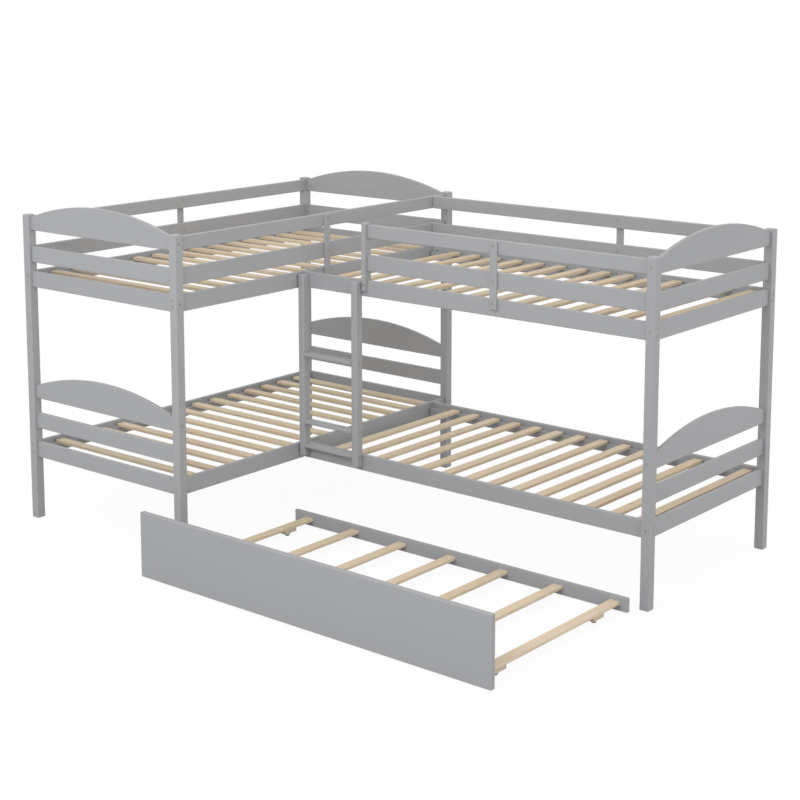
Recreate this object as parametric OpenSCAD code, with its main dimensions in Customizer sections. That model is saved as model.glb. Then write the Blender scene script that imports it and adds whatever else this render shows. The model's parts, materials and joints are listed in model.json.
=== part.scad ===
// L-shaped double bunk bed with a roll-out trundle bed.
// Lengths are in millimetres. X runs along the right-hand bunk, Y runs from the front
// to the back and Z is up. Places are worked out from the outer front corner of the
// front left post at the floor. The finished model is then shifted, so that its origin
// lies at the floor under the middle of its outline, with the trundle drawn out.

/* [Overall] */
// Length of the left bunk, front to back over its posts
left_l = 2000; // [1940:10:2200]
// Width of the left bunk over its posts
left_w = 1066; // [960:2:1300]
// Overall length of the bed along the right bunk
overall_l = 3018; // [2900:2:3300]
// Width of the right bunk over its posts
right_w = 1056; // [1020:2:1300]
// Step between the backs of the left and the right bunk
back_step = 114; // [70:2:220]

/* [Posts] */
// Side of the square posts
post_s = 44; // [42:1:60]
// Bevel round the top of each post
post_bevel = 3; // [1:0.5:6]
// Height of the posts above the top guard rail
post_above = 11; // [2:1:40]

/* [Heights] */
// Underside of the lower bunks' rails
lower_rail_z = 310; // [290:2:400]
// Underside of the upper bunks' rails
upper_rail_z = 1156; // [1080:2:1400]
// Gap between the lower end rail and the board above it
lower_mid_gap = 68; // [40:1:100]
// Gap below the lower arched board
lower_top_gap = 72; // [40:1:100]
// Gap between the upper rail and the middle guard rail
upper_mid_gap = 43; // [20:1:70]
// Gap between the middle and the top guard rail
upper_top_gap = 78; // [40:1:90]

/* [Boards] */
// Height of the side rails and end rails
rail_h = 78; // [76:1:120]
// Height of the middle boards and middle guard rails
mid_h = 78; // [66:1:100]
// Height of the top guard rails, and of the arched boards at their ends
top_h = 64; // [56:1:90]
// Rise of the arched boards in the middle
arch_rise = 82; // [20:1:120]
// Thickness of the end boards
end_board_t = 18; // [16:1:24]
// Thickness of the side rails and guard rails
rail_t = 20; // [18:1:24]
// Set-back of the side rails from the posts' outer faces
rail_inset = 16; // [10:1:20]

/* [Slats] */
// Number of slats in each bunk
slat_n = 14; // [10:1:18]
// Width of a slat
slat_w = 48; // [40:1:60]
// Thickness of a slat
slat_t = 14; // [12:1:18]
// Depth of the slats' top face below the rails' top edge
slat_drop = 14; // [8:1:20]
// Radius of the slats' corners
slat_r = 8; // [2:1:15]
// Gap between a slat's end and the side rail
slat_end_gap = 10; // [4:1:12]
// Gap between the end boards and the first and last slat of the left bunk
left_slat_margin = 90; // [70:5:140]
// Gap between the left bunk's rail and the first slat of the right bunk
right_slat_first = 149; // [60:1:180]
// Gap between the last slat of the right bunk and the end boards
right_slat_last = 29; // [20:1:80]
// Width of the ledger strips that carry the slats
ledger_w = 24; // [22:1:34]
// Height of the ledger strips
ledger_h = 40; // [30:1:44]
// Gap between the ledger strips' ends and the posts
ledger_gap = 6; // [2:1:30]

/* [Guard rail stiles] */
// Width of the stiles that join the guard rails
stile_w = 38; // [30:1:60]
// Thickness of the stiles
stile_t = 11; // [8:1:16]
// Reach of a stile below the top of the upper side rail
stile_low = 47; // [34:1:60]
// Distance from the top of a stile to the top of the guard rail
stile_top = 7; // [0:1:14]
// Middle of the left bunk's outer stile, from the bunk's front
outer_stile_y = 1022; // [900:2:1100]
// Middle of the left bunk's inner stile, from the bunk's front
inner_stile_y = 1014; // [920:2:1100]
// Middle of the right bunk's front stile, from the left end
front_stile_x = 2192; // [1800:2:2500]
// Middle of the right bunk's back stile, from the left end
back_stile_x = 2190; // [1700:5:2500]
// Left face of the end stile beside the ladder, from the left bunk's right-hand side
end_stile_gap = 368; // [360:2:420]
// Thickness of the end stile
end_stile_t = 23; // [20:1:35]
// Height of the end stile above the top guard rail
end_stile_above = 7; // [0:1:10]
// Reach of the end stile's tongue below the top of the upper side rail
tongue_low = 52; // [34:1:60]

/* [Ladder] */
// Gap between the left bunk's rail and the ladder
ladder_gap = 6; // [2:1:12]
// Width of the ladder over its uprights
ladder_w = 371; // [340:1:374]
// Width of an upright
upright_w = 35; // [28:1:45]
// Depth of the uprights and the treads
upright_d = 45; // [35:1:60]
// Radius of the uprights' edges
upright_r = 6; // [1:1:10]
// Height of the ladder's foot above the underside of the lower rail
ladder_low = 21; // [6:1:24]
// Distance from the top of the ladder to the top of the upper rail
ladder_top = 10; // [0:1:24]
// Thickness of the treads
tread_t = 18; // [16:1:30]
// Radius of the treads' long edges
tread_r = 5; // [1:0.5:7]
// Height of the lowest tread's top
tread_1_z = 390; // [380:2:440]
// Height of the middle tread's top
tread_2_z = 510; // [480:5:640]
// Height of the highest tread's top
tread_3_z = 843; // [700:5:1000]

/* [Trundle] */
// How far the trundle is drawn out at rest
trundle_out = 1045; // [600:5:1200]
// Gap between the closed trundle's front panel and the right front post
trundle_gap = 4; // [2:1:20]
// Gap between the left bunk's side and the front panel's left end
panel_left_gap = 2; // [1:1:30]
// Distance from the front panel's right end to the bed's right-hand side
panel_right_gap = 25; // [0:1:60]
// Thickness of the front panel
panel_t = 25; // [18:1:30]
// Height of the front panel's lower edge above the floor
panel_low = 8; // [6:1:20]
// Gap between the front panel's top edge and the lowest part of the ladder
panel_top_gap = 27; // [8:1:120]
// Depth of the trundle's lying surface, front to back
deck_d = 966; // [900:2:1000]
// Thickness of the rear rail
rear_t = 18; // [16:1:25]
// Height of the rear rail
rear_h = 64; // [50:1:100]
// Gap between the rear rail's ends and the bed's posts
rear_gap = 6; // [3:1:30]
// Number of slats in the trundle
deck_n = 7; // [4:1:12]
// Height of the trundle slats' underside
deck_z = 36; // [36:1:50]
// Distance from the panel's left end to the first slat
deck_first = 80; // [40:1:140]
// Distance from the last slat to the panel's right end
deck_last = 63; // [40:1:140]

/* [Casters] */
// Diameter of the wheels
wheel_d = 32; // [26:1:34]
// Width of a wheel
wheel_w = 14; // [10:1:16]
// Radius of the wheel's edges
wheel_r = 2; // [0.5:0.5:4]
// Diameter of the axles
axle_d = 5; // [4:0.5:6]
// Thickness of the bracket's sheet steel
sheet_t = 1.5; // [1:0.25:1.5]
// Gap between a wheel's side and the bracket
wheel_side_gap = 1.5; // [0.5:0.25:2]
// Length of the wooden caster blocks
caster_l = 76; // [72:1:100]
// Thickness of the caster blocks
caster_t = 16; // [12:1:16]
// Distance from the front panel to the middle of the front casters
caster_front = 121; // [60:1:240]
// Distance from the rear rail to the middle of the rear casters
caster_rear = 160; // [60:1:240]

/* [Fasteners] */
// Diameter of the bolts' shanks
bolt_d = 6; // [5:0.5:7]
// Diameter of the bolt heads
head_d = 14; // [12:0.5:15]
// Thickness of the bolt heads
head_h = 2.5; // [2:0.25:3]
// Depth of a bolt in the board that it holds
bolt_bite = 38; // [34:1:44]
// Distance of a barrel nut from the board's end
nut_set = 30; // [24:1:32]
// Diameter of the barrel nuts
nut_d = 10; // [9:0.5:11]
// Length of the barrel nuts
nut_l = 12; // [10:0.5:12]
// Half the distance between the two bolts in a side rail's end
bolt_spread = 16; // [13:1:20]
// Diameter of the wooden dowels
dowel_d = 8; // [6:0.5:8]
// Length of the wooden dowels
dowel_l = 32; // [24:1:32]
// Diameter of the wood screws
screw_d = 4; // [3:0.25:4.5]

/* [Hidden] */
$fn = 48;

// Colours, as red, green and blue
paint = [0.64, 0.65, 0.66];
pine = [0.80, 0.70, 0.56];
pale_pine = [0.84, 0.77, 0.67];
brass = [0.72, 0.60, 0.40];
zinc = [0.70, 0.71, 0.72];
black = [0.10, 0.10, 0.11];

// Extra length of a cutter past a face
over = 1;
// Facets of the arched boards' circle
arch_fn = 360;
// Radial clearance of a bolt in its hole
bolt_clear = 0.5;
// Radial clearance of nuts, dowels and screws in their holes
snug = 0.15;
// Radial clearance of a wheel on its axle
running_clear = 0.05;
// Depth of the bolt heads below the wood's surface
head_sink = 0.5;
// Room in a bolt's hole past its end
bolt_end_room = 3;
// Width and depth of the hexagonal sockets in the bolt heads
socket_d = bolt_d * 0.75;
socket_depth = head_h * 0.7;
// Depth of the screw heads below the wood's surface
screw_sink = 0.5;
countersink_d = 2 * screw_d;
// Share of a board's thickness that a screw goes into
screw_share = 0.7;

// Places of the posts
right_back_y = left_l - back_step;
right_front_y = right_back_y - right_w;
right_post_x = overall_l - post_s;
inner_post_x = left_w - post_s;
back_post_y = left_l - post_s;

// Heights of the boards
lower_mid_z = lower_rail_z + rail_h + lower_mid_gap;
lower_top_z = lower_mid_z + mid_h + lower_top_gap;
upper_mid_z = upper_rail_z + rail_h + upper_mid_gap;
upper_top_z = upper_mid_z + mid_h + upper_top_gap;
guard_top_z = upper_top_z + top_h;
rail_top_z = upper_rail_z + rail_h;
post_h = guard_top_z + post_above;
mid_levels = [lower_mid_z, upper_mid_z];
top_levels = [lower_top_z, upper_top_z];
rail_levels = [lower_rail_z, upper_rail_z];
guard_levels = [[upper_mid_z, mid_h], [upper_top_z, top_h]];

// A run is a row of boards with the same ends:
// [start x, start y, heading, length, thickness, side of the bed's inside (1 = left of
// the heading), wood that the bolts cross at the start, the same at the end].
rail_mid = rail_inset + rail_t / 2;
inner_face_x = left_w - rail_inset;
bd_x = left_w - rail_mid;
front_rail_y = right_front_y + rail_mid;
back_rail_y = right_back_y - rail_mid;
left_span = left_l - 2 * post_s;
right_span = right_post_x - inner_face_x;
front_end = [post_s, post_s / 2, 0, left_w - 2 * post_s, end_board_t, 1, post_s, post_s];
back_end = [post_s, left_l - post_s / 2, 0, left_w - 2 * post_s, end_board_t, -1, post_s, post_s];
right_end = [overall_l - post_s / 2, right_front_y + post_s, 90, right_w - 2 * post_s,
             end_board_t, 1, post_s, post_s];
outer_run = [rail_mid, post_s, 90, left_span, rail_t, -1, post_s, post_s];
inner_run = [bd_x, post_s, 90, left_span, rail_t, 1, post_s, post_s];
front_run = [inner_face_x, front_rail_y, 0, right_span, rail_t, 1, rail_t, post_s];
back_run = [inner_face_x, back_rail_y, 0, right_span, rail_t, -1, rail_t, post_s];
end_stile_x = left_w + end_stile_gap;
guard_start_x = end_stile_x + end_stile_t;
front_guard_run = [guard_start_x, front_rail_y, 0, right_post_x - guard_start_x, rail_t, 1, 0, 0];

// Slats: places of their middles, along Y in the left bunk and along X in the right one
left_first_y = (post_s + end_board_t) / 2 + left_slat_margin + slat_w / 2;
left_pitch = (left_l - 2 * left_first_y) / (slat_n - 1);
left_slat_ys = [for (i = [0 : slat_n - 1]) left_first_y + i * left_pitch];
right_first_x = inner_face_x + right_slat_first + slat_w / 2;
right_last_x = overall_l - (post_s + end_board_t) / 2 - right_slat_last - slat_w / 2;
right_pitch = (right_last_x - right_first_x) / (slat_n - 1);
right_slat_xs = [for (i = [0 : slat_n - 1]) right_first_x + i * right_pitch];
slat_lower_z = lower_rail_z + rail_h - slat_drop - slat_t;
slat_upper_z = rail_top_z - slat_drop - slat_t;
slat_levels = [slat_lower_z, slat_upper_z];
// Slats of both bunks begin and end this far in from the middle of the side rails
slat_edge = rail_t / 2 + slat_end_gap;
// Distance of a slat's screw from the middle of the side rail
slat_screw_edge = (slat_edge + rail_t / 2 + ledger_w) / 2;
// Depth of the slat screws in the ledgers
slat_screw_bite = 20;
slat_screw_l = slat_t + slat_screw_bite;
// One screw holds the ledger in every third gap between slats
ledger_screw_step = 3;
ledger_screw_l = ledger_w + rail_t * screw_share;
// Room round the bolt heads behind a ledger
head_room = 2;

// Distance of a stile's outer face behind the posts' outer faces
stile_back = rail_inset - stile_t;
// Guard rail stiles, each as [x, y, heading] of its outer face's middle
outer_stile = [stile_back, outer_stile_y, 0];
inner_stile = [left_w - stile_back, inner_stile_y, 180];
front_stile = [front_stile_x, right_front_y + stile_back, 90];
back_stile = [back_stile_x, right_back_y - stile_back, 270];
end_stile = [end_stile_x + end_stile_t / 2, right_front_y, 90];
// Distance of the lowest stile bolts below the rail's top edge
stile_bolt_drop = 20;
// Distance of the highest stile bolts above the middle of the top guard rail
stile_bolt_lift = 9;
stile_bolt_low_z = rail_top_z - stile_bolt_drop;
stile_bolt_zs = [stile_bolt_low_z, upper_mid_z + mid_h / 2,
                 upper_top_z + top_h / 2 + stile_bolt_lift];

// Two-part bolts, whose sleeve nut comes in from the other side
stile_grip = stile_t + rail_t;
tongue_grip = rail_inset + rail_t;
sleeve_wall = 1.5;
sleeve_d = bolt_d + 2 * sleeve_wall;
sleeve_l = 14;
sleeve_flange = 2;
// Room between the bolt's end and the bottom of the sleeve
sleeve_room = 1.5;

// Ladder
ladder_x = inner_face_x + ladder_gap;
ladder_y = right_front_y + rail_inset - upright_d;
ladder_foot_z = lower_rail_z + ladder_low;
ladder_h = rail_top_z - ladder_top - ladder_foot_z;
tread_l = ladder_w - 2 * upright_w;
tread_zs = [tread_1_z, tread_2_z, tread_3_z];
upright_xs = [ladder_x, ladder_x + ladder_w - upright_w];

// Trundle
panel_back_y = right_front_y - trundle_gap - trundle_out;
panel_front_y = panel_back_y - panel_t;
panel_x = left_w + panel_left_gap;
panel_l = overall_l - panel_right_gap - panel_x;
panel_h = ladder_foot_z - panel_top_gap - panel_low;
rear_y = panel_back_y + deck_d;
rear_x = left_w + panel_left_gap + rear_gap;
rear_l = right_post_x - rear_gap - rear_x;
deck_pitch = (panel_l - deck_first - deck_last - slat_w) / (deck_n - 1);
deck_xs = [for (i = [0 : deck_n - 1]) panel_x + deck_first + slat_w / 2 + i * deck_pitch];
deck_dowel_d = 6;
deck_dowel_l = 30;
deck_dowel_spread = slat_w / 4;

// Casters
caster_xs = [deck_xs[0], deck_xs[deck_n - 1]];
caster_ys = [panel_back_y + caster_front, rear_y - caster_rear];
wheel_places = [for (y = caster_ys, x = caster_xs) [x, y, wheel_d / 2]];
bracket_w = wheel_w + 2 * wheel_side_gap + 2 * sheet_t;
bracket_l = 40;
cheek_l = 18;
cheek_low = 8;
// Room between a block and its bracket, at the sides and at the ends
slot_side_gap = 0.3;
slot_end_gap = 1;
slot_w = bracket_w + 2 * slot_side_gap;
slot_l = bracket_l + 2 * slot_end_gap;
pin_head_d = 7;
pin_head_t = 1.5;
bracket_screw_y = 15.5;
block_screw_y = (slot_l / 2 + caster_l / 2) / 2;
// Depth of the caster screws in the slat
caster_bite = slat_t * screw_share;
pan_head_t = 1;

// The model's origin: the middle of the outline at the floor
origin_x = overall_l / 2;
origin_y = (left_l + panel_front_y) / 2;

// Joints. A bolt is [x, y, z, heading, roll, wood crossed, half thickness of the board
// held]. Roll 0 opens the barrel nut's hole to the left of the heading, 180 to the
// right and -90 downwards.
function ahead(heading) = [cos(heading), sin(heading)];
function run_point(run, s) = [run[0], run[1]] + s * ahead(run[2]);
function run_bolts(run, zs) = [
  for (z = zs)
    for (far = [false, true])
      let (p = run_point(run, far ? run[3] + run[7] : -run[6]))
        [p[0], p[1], z, run[2] + (far ? 180 : 0), (run[5] > 0) != far ? 0 : 180,
         far ? run[7] : run[6], run[4] / 2]
];
// A dowel is [x, y, z, heading], placed where the two pieces meet
function run_dowels(run, zs) = [
  for (z = zs)
    for (s = [0, run[3]])
      let (p = run_point(run, s)) [p[0], p[1], z, run[2]]
];
function pair(z, spread) = [z - spread, z + spread];
function near_post(joints, x, y) = [
  for (j = joints)
    if (j[0] > x - over && j[0] < x + post_s + over
        && j[1] > y - over && j[1] < y + post_s + over) j
];
function at_height(joints, z, h) = [for (j = joints) if (j[2] > z && j[2] < z + h) j];
function middles(levels, h) = [for (z = levels) z + h / 2];
function with_pairs(zs, spread) = [for (z = zs) each pair(z, spread)];

end_bolt_zs = concat(middles(rail_levels, rail_h), middles(top_levels, top_h));
rail_bolt_zs = with_pairs(middles(rail_levels, rail_h), bolt_spread);
// Half the distance between two dowels, in the end boards, in the middle guard rails
// (whose dowels pass between those of the end boards) and in the top guard rails
end_dowel_spread = mid_h * 0.31;
mid_dowel_spread = mid_h * 0.15;
top_dowel_spread = top_h * 0.25;
end_dowel_zs = with_pairs(middles(mid_levels, mid_h), end_dowel_spread);
guard_dowel_zs = concat(pair(upper_mid_z + mid_h / 2, mid_dowel_spread),
                        pair(upper_top_z + top_h / 2, top_dowel_spread));
front_end_bolts = run_bolts(front_end, end_bolt_zs);
back_end_bolts = run_bolts(back_end, end_bolt_zs);
right_end_bolts = run_bolts(right_end, end_bolt_zs);
outer_bolts = run_bolts(outer_run, rail_bolt_zs);
inner_bolts = run_bolts(inner_run, rail_bolt_zs);
front_bolts = run_bolts(front_run, rail_bolt_zs);
back_bolts = run_bolts(back_run, rail_bolt_zs);
ladder_rail_bolts = [
  for (x = upright_xs)
    for (z = middles(rail_levels, rail_h))
      [x + upright_w / 2, front_rail_y + rail_t / 2, z, 270, 180, rail_t, upright_w / 2]
];
tread_bolts = [
  for (far = [false, true])
    for (z = tread_zs)
      [ladder_x + (far ? ladder_w : 0), ladder_y + upright_d / 2, z - tread_t / 2,
       far ? 180 : 0, -90, upright_w, tread_t / 2]
];
main_bolts = concat(front_end_bolts, back_end_bolts, right_end_bolts,
                    outer_bolts, inner_bolts, front_bolts, back_bolts);
all_bolts = concat(main_bolts, ladder_rail_bolts, tread_bolts);
front_end_dowels = run_dowels(front_end, end_dowel_zs);
back_end_dowels = run_dowels(back_end, end_dowel_zs);
right_end_dowels = run_dowels(right_end, end_dowel_zs);
outer_dowels = run_dowels(outer_run, guard_dowel_zs);
inner_dowels = run_dowels(inner_run, guard_dowel_zs);
front_dowels = run_dowels(front_guard_run, guard_dowel_zs);
back_dowels = run_dowels(back_run, guard_dowel_zs);
all_dowels = concat(front_end_dowels, back_end_dowels, right_end_dowels,
                    outer_dowels, inner_dowels, front_dowels, back_dowels);

// Shifts the model onto its origin
module place() {
  translate([-origin_x, -origin_y, 0]) children();
}

// A box between two opposite corners
module box(low, high) {
  translate(low) cube(high - low);
}

// Puts children at a joint, with local X along the bolt, screw or dowel
module at_joint(j, roll = 0) {
  translate([j[0], j[1], j[2]]) rotate([0, 0, j[3]]) rotate([roll, 0, 0]) children();
}

// A cylinder along local X
module rod(d, x, l) {
  translate([x, 0, 0]) rotate([0, 90, 0]) cylinder(d = d, h = l);
}

// Puts children in a run's own frame, with local X along the run and Y = 0 mid-board
module in_run(run, z = 0) {
  translate([run[0], run[1], z]) rotate([0, 0, run[2]]) children();
}

// A plain board of a run
module run_board(run, z, h) {
  in_run(run, z) translate([0, -run[4] / 2, 0]) cube([run[3], run[4], h]);
}

// Clearance holes and head recesses of bolts
module shank_holes(bolts) {
  for (b = bolts)
    at_joint(b) {
      rod(bolt_d + 2 * bolt_clear, -over, b[5] + bolt_bite + bolt_end_room + over);
      rod(head_d + 2 * snug, -over, over + head_sink + head_h);
    }
}

// Cross holes that barrel nuts are pushed into
module nut_holes(bolts) {
  for (b = bolts)
    at_joint(b, b[4])
      translate([b[5] + nut_set, -nut_l / 2 - snug, 0])
        rotate([-90, 0, 0])
          cylinder(d = nut_d + 2 * snug, h = b[6] + nut_l / 2 + snug + over);
}

// Both kinds of hole, for a board that bolts hold
module bolt_cuts(bolts) {
  shank_holes(bolts);
  nut_holes(bolts);
}

// A bolt of length l with a flat head and a hexagonal socket
module bolt(l) {
  difference() {
    union() {
      rod(head_d, head_sink, head_h);
      rod(bolt_d, head_sink, l);
    }
    translate([head_sink - over, 0, 0]) rotate([0, 90, 0])
      cylinder(d = socket_d, h = socket_depth + over, $fn = 6);
  }
}

// A barrel nut with its cross bore
module barrel_nut(b) {
  translate([b[5] + nut_set, 0, 0])
    difference() {
      rotate([-90, 0, 0]) cylinder(d = nut_d, h = nut_l, center = true);
      rod(bolt_d + 2 * snug, -nut_d, 2 * nut_d);
    }
}

// Holes for dowels
module dowel_holes(dowels) {
  for (d = dowels)
    at_joint(d) rod(dowel_d + 2 * snug, -dowel_l / 2 - over, dowel_l + 2 * over);
}

// A countersunk screw, with its head's face at the origin and pointing down
module screw(l) {
  translate([0, 0, -l]) cylinder(d = screw_d, h = l - screw_sink);
  translate([0, 0, -screw_d / 2 - screw_sink])
    cylinder(d1 = screw_d, d2 = countersink_d, h = screw_d / 2);
}

// The hole for a countersunk screw
module screw_hole(l) {
  translate([0, 0, -l - over]) cylinder(d = screw_d + 2 * snug, h = l + 2 * over);
  translate([0, 0, -screw_d / 2 - screw_sink])
    cylinder(d1 = screw_d + 2 * snug, d2 = countersink_d + 2 * snug, h = screw_d / 2);
  translate([0, 0, -screw_sink]) cylinder(d = countersink_d + 2 * snug, h = screw_sink + over);
}

// A square post with a bevelled top, its bolt holes and its dowel holes
module post(x, y) {
  color(paint) place()
    difference() {
      translate([x, y, 0])
        intersection() {
          rotate([90, 0, 0]) translate([0, 0, -post_s]) linear_extrude(post_s) post_side();
          rotate([90, 0, 90]) linear_extrude(post_s) post_side();
        }
      shank_holes(near_post(main_bolts, x, y));
      dowel_holes(near_post(all_dowels, x, y));
    }
}

// The side view of a post
module post_side() {
  polygon([[0, 0], [post_s, 0], [post_s, post_h - post_bevel],
           [post_s - post_bevel, post_h], [post_bevel, post_h], [0, post_h - post_bevel]]);
}

// The outline of an arched board: straight below and an arc of a circle above
module arch_outline(l) {
  r = (l * l / 4 + arch_rise * arch_rise) / (2 * arch_rise);
  intersection() {
    square([l, top_h + arch_rise]);
    translate([l / 2, top_h + arch_rise - r]) circle(r = r, $fn = arch_fn);
  }
}

// The lower and upper arched boards of an end frame
module arched_boards(run, bolts) {
  color(paint) place()
    difference() {
      for (z = top_levels)
        in_run(run, z) rotate([90, 0, 0])
          linear_extrude(run[4], center = true) arch_outline(run[3]);
      for (z = top_levels) bolt_cuts(at_height(bolts, z, top_h));
    }
}

// The lower and upper middle boards of an end frame
module mid_boards(run, dowels) {
  color(paint) place()
    difference() {
      for (z = mid_levels) run_board(run, z, mid_h);
      dowel_holes(dowels);
    }
}

// The lower and upper rails of an end frame
module end_rails(run, bolts) {
  color(paint) place()
    difference() {
      for (z = rail_levels) run_board(run, z, rail_h);
      for (z = rail_levels) bolt_cuts(at_height(bolts, z, rail_h));
    }
}

// Distances along a run of the screws that hold its ledger, midway between slats
function ledger_screw_spots(run, middles_along) = [
  for (i = [0 : ledger_screw_step : slat_n - 2])
    (middles_along[i] + middles_along[i + 1]) / 2 - (run[2] == 90 ? run[1] : run[0])
];
function slats_along(run) = run[2] == 90 ? left_slat_ys : right_slat_xs;

// Puts children at each ledger screw of a run, pointing from the ledger into the rail
module at_ledger_screws(run, slat_z) {
  for (s = ledger_screw_spots(run, slats_along(run)))
    in_run(run, slat_z - ledger_h / 2)
      translate([s, run[5] * (rail_t / 2 + ledger_w), 0])
        rotate([-90 * run[5], 0, 0]) children();
}

// A side rail with the holes of the bolts, guard bolts and ledger screws in it
module side_rail(run, z, bolts, passing, connectors) {
  color(paint) place()
    difference() {
      run_board(run, z, rail_h);
      bolt_cuts(at_height(bolts, z, rail_h));
      shank_holes(at_height(passing, z, rail_h));
      connector_holes(at_height(connectors, z, rail_h));
      at_ledger_screws(run, z + rail_h - slat_drop - slat_t) screw_hole(ledger_screw_l);
    }
}

// The middle and top guard rails of a run
module guard_rails(run, dowels, connectors) {
  color(paint) place()
    difference() {
      for (g = guard_levels) run_board(run, g[0], g[1]);
      dowel_holes(dowels);
      connector_holes(connectors);
    }
}

// The bolts of one stile, as joints at its outer face that also hold the grip, which
// is the thickness of stile and rail together
function stile_bolts(stile, zs, grip) = [for (z = zs) [stile[0], stile[1], z, stile[2], grip]];
outer_connectors = stile_bolts(outer_stile, stile_bolt_zs, stile_grip);
inner_connectors = stile_bolts(inner_stile, stile_bolt_zs, stile_grip);
front_connectors = stile_bolts(front_stile, stile_bolt_zs, stile_grip);
back_connectors = stile_bolts(back_stile, stile_bolt_zs, stile_grip);
end_connectors = stile_bolts(end_stile, [stile_bolt_low_z], tongue_grip);
all_connectors = concat(outer_connectors, inner_connectors, front_connectors,
                        back_connectors, end_connectors);

// Holes for the two-part bolts that join a stile to a rail
module connector_holes(joints) {
  for (j = joints) {
    grip = j[4];
    flange_x = grip - sleeve_flange - head_sink;
    at_joint(j) {
      rod(bolt_d + 2 * bolt_clear, -over, grip);
      rod(head_d + 2 * snug, -over, over + head_sink + head_h);
      rod(sleeve_d + 2 * snug, grip - sleeve_l - over, sleeve_l + 2 * over);
      rod(head_d + 2 * snug, flange_x, over + sleeve_flange + head_sink);
    }
  }
}

// A two-part bolt: the bolt, and the sleeve nut that it screws into
module connector_bolt(grip) {
  flange_x = grip - sleeve_flange - head_sink;
  bolt(flange_x - sleeve_room);
  difference() {
    union() {
      rod(head_d, flange_x, sleeve_flange);
      rod(sleeve_d, grip - sleeve_l, sleeve_l - sleeve_flange);
    }
    rod(bolt_d + 2 * snug, grip - sleeve_l - over, sleeve_l - sleeve_flange - head_sink + over);
  }
}

// A stile that joins the guard rails to the upper side rail
module stile(place_and_heading, joints) {
  low_z = rail_top_z - stile_low;
  color(paint) place()
    difference() {
      translate([place_and_heading[0], place_and_heading[1], low_z])
        rotate([0, 0, place_and_heading[2]])
          translate([0, -stile_w / 2, 0])
            cube([stile_t, stile_w, guard_top_z - stile_top - low_z]);
      connector_holes(joints);
    }
}

// The end stile beside the ladder, with a tongue in front of the side rail
module end_stile_piece() {
  color(paint) place()
    difference() {
      union() {
        box([end_stile_x, right_front_y, rail_top_z],
            [end_stile_x + end_stile_t, right_front_y + post_s, guard_top_z + end_stile_above]);
        box([end_stile_x, right_front_y, rail_top_z - tongue_low],
            [end_stile_x + end_stile_t, right_front_y + rail_inset, rail_top_z + over]);
      }
      dowel_holes(front_dowels);
      connector_holes(end_connectors);
    }
}

// A rectangle with round corners
module round_rect(w, h, r) {
  translate([r, 0]) square([w - 2 * r, h]);
  translate([0, r]) square([w, h - 2 * r]);
  for (x = [r, w - r], y = [r, h - r]) translate([x, y]) circle(r = r);
}

// A ladder upright
module upright(x) {
  color(paint) place()
    difference() {
      translate([x, ladder_y, ladder_foot_z])
        linear_extrude(ladder_h) round_rect(upright_w, upright_d, upright_r);
      bolt_cuts([for (b = ladder_rail_bolts) if (b[0] > x && b[0] < x + upright_w) b]);
      shank_holes([for (b = tread_bolts) if (b[0] > x - over && b[0] < x + upright_w + over) b]);
    }
}

module ladder_treads() {
  color(paint) place()
    difference() {
      for (z = tread_zs)
        translate([ladder_x + upright_w, ladder_y, z - tread_t])
          rotate([90, 0, 90]) linear_extrude(tread_l) round_rect(upright_d, tread_t, tread_r);
      bolt_cuts(tread_bolts);
    }
}

// Middles of the slat ends across a bunk: the far side rails' middles
left_rail_xs = [rail_mid, bd_x];
right_rail_ys = [front_rail_y, back_rail_y];

// A bunk's slats, laid along X from rail to rail, with middles at ys and screws in the ends
module slats_along_x(ys, z) {
  x0 = left_rail_xs[0] + slat_edge;
  x1 = left_rail_xs[1] - slat_edge;
  color(pine) place()
    for (y = ys)
      difference() {
        translate([x0, y - slat_w / 2, z])
          linear_extrude(slat_t) round_rect(x1 - x0, slat_w, slat_r);
        for (x = [left_rail_xs[0] + slat_screw_edge, left_rail_xs[1] - slat_screw_edge])
          translate([x, y, z + slat_t]) screw_hole(slat_screw_l);
      }
}

// The same for slats laid along Y, with middles at xs
module slats_along_y(xs, z) {
  y0 = right_rail_ys[0] + slat_edge;
  y1 = right_rail_ys[1] - slat_edge;
  color(pine) place()
    for (x = xs)
      difference() {
        translate([x - slat_w / 2, y0, z])
          linear_extrude(slat_t) round_rect(slat_w, y1 - y0, slat_r);
        for (y = [right_rail_ys[0] + slat_screw_edge, right_rail_ys[1] - slat_screw_edge])
          translate([x, y, z + slat_t]) screw_hole(slat_screw_l);
      }
}

// Puts children at each slat screw of a run's ledger
module at_slat_screws(run, slat_z) {
  start = run[2] == 90 ? run[1] : run[0];
  for (m = slats_along(run))
    in_run(run, slat_z + slat_t)
      translate([m - start, run[5] * slat_screw_edge, 0]) children();
}

// A ledger strip below the slats, with way for the bolt heads behind it
module ledger(run, slat_z, heads) {
  y = run[5] > 0 ? rail_t / 2 : -rail_t / 2 - ledger_w;
  difference() {
    in_run(run, slat_z - ledger_h)
      translate([ledger_gap, y, 0]) cube([run[3] - 2 * ledger_gap, ledger_w, ledger_h]);
    at_slat_screws(run, slat_z) screw_hole(slat_screw_l);
    at_ledger_screws(run, slat_z) screw_hole(ledger_screw_l);
    for (b = heads) at_joint(b) rod(head_d + 2 * head_room, -ledger_w - over, ledger_w + over);
  }
}

module ledgers(first_run, first_heads, second_run, second_heads) {
  color(paint) place()
    for (z = slat_levels) {
      ledger(first_run, z, at_height(first_heads, z - rail_h, rail_h + slat_t));
      ledger(second_run, z, at_height(second_heads, z - rail_h, rail_h + slat_t));
    }
}

// Bolts of the right bunk's rails whose heads lie on the left bunk's inner rails
hidden_heads = [for (b = concat(front_bolts, back_bolts)) if (b[5] == rail_t) b];

module frame_bolts() {
  color(brass) place()
    for (b = main_bolts) at_joint(b) bolt(b[5] + bolt_bite - head_sink);
}

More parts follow.
